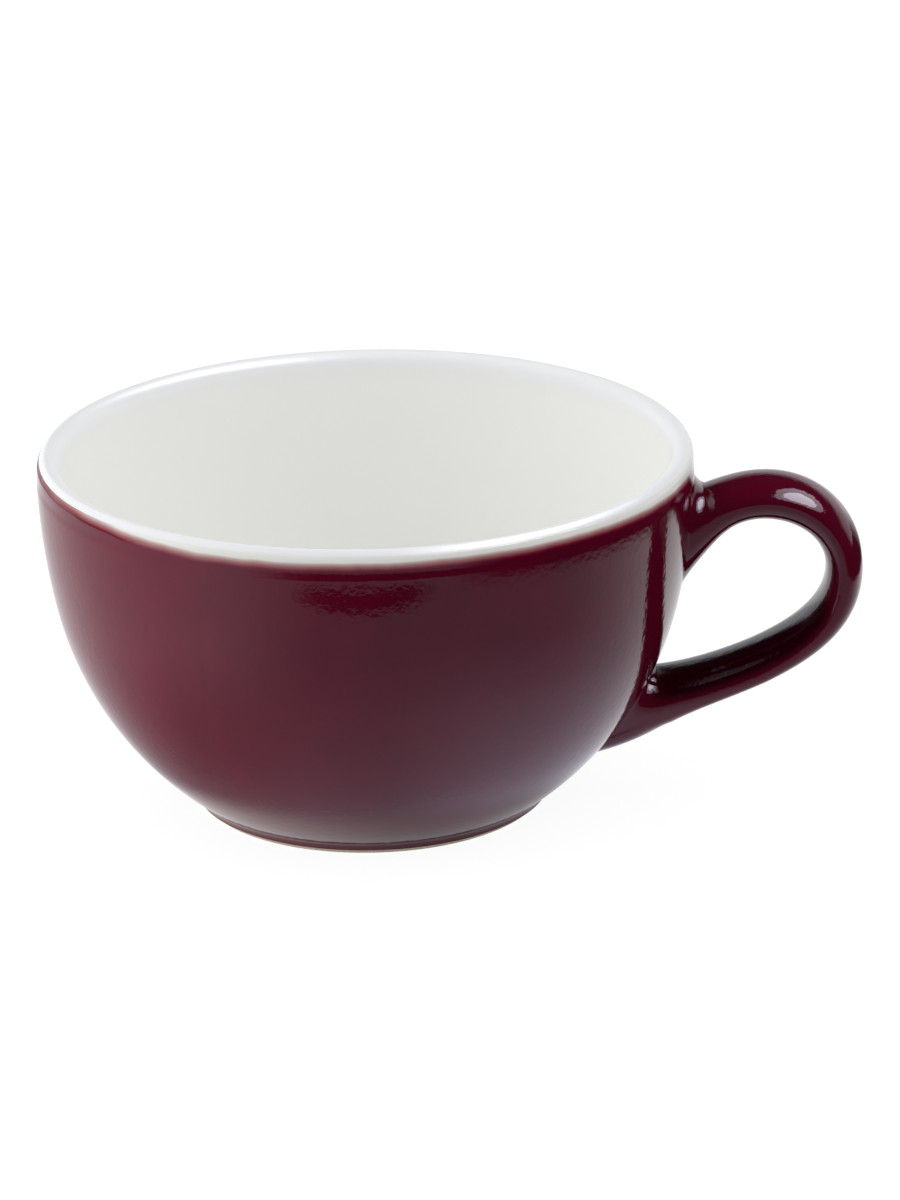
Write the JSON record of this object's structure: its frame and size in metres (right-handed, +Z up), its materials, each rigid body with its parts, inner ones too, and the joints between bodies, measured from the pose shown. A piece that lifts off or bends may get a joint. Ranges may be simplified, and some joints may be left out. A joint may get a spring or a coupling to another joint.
{
  "type": "tea cup",
  "caption": "Wide rounded glazed tea cup with a strap handle luted to the bowl, white inside and at the lip, dark red outside, on a bare turned foot ring.",
  "frame": {"origin": "centre of the foot ring, in the plane of the table", "axes": "+Z is up along the axis of the bowl, +X points to the handle, and +Y completes the right-handed frame"},
  "size_m": [0.1256, 0.1, 0.0562],
  "materials": {
    "clay_body": "bare fired clay, smooth and matt",
    "slip": "fired slip, matt, covered by the glaze",
    "white_glaze": "glossy warm white glaze",
    "burgundy_glaze": "glossy dark red glaze"
  },
  "bodies": {
    "root": {"bowl": "clay_body", "handle": "clay_body", "upper_slip_joint": "slip", "lower_slip_joint": "slip", "liner_glaze": "white_glaze", "bowl_glaze": "burgundy_glaze", "handle_glaze": "burgundy_glaze", "base_glaze": "burgundy_glaze"}
  },
  "joints": []
}
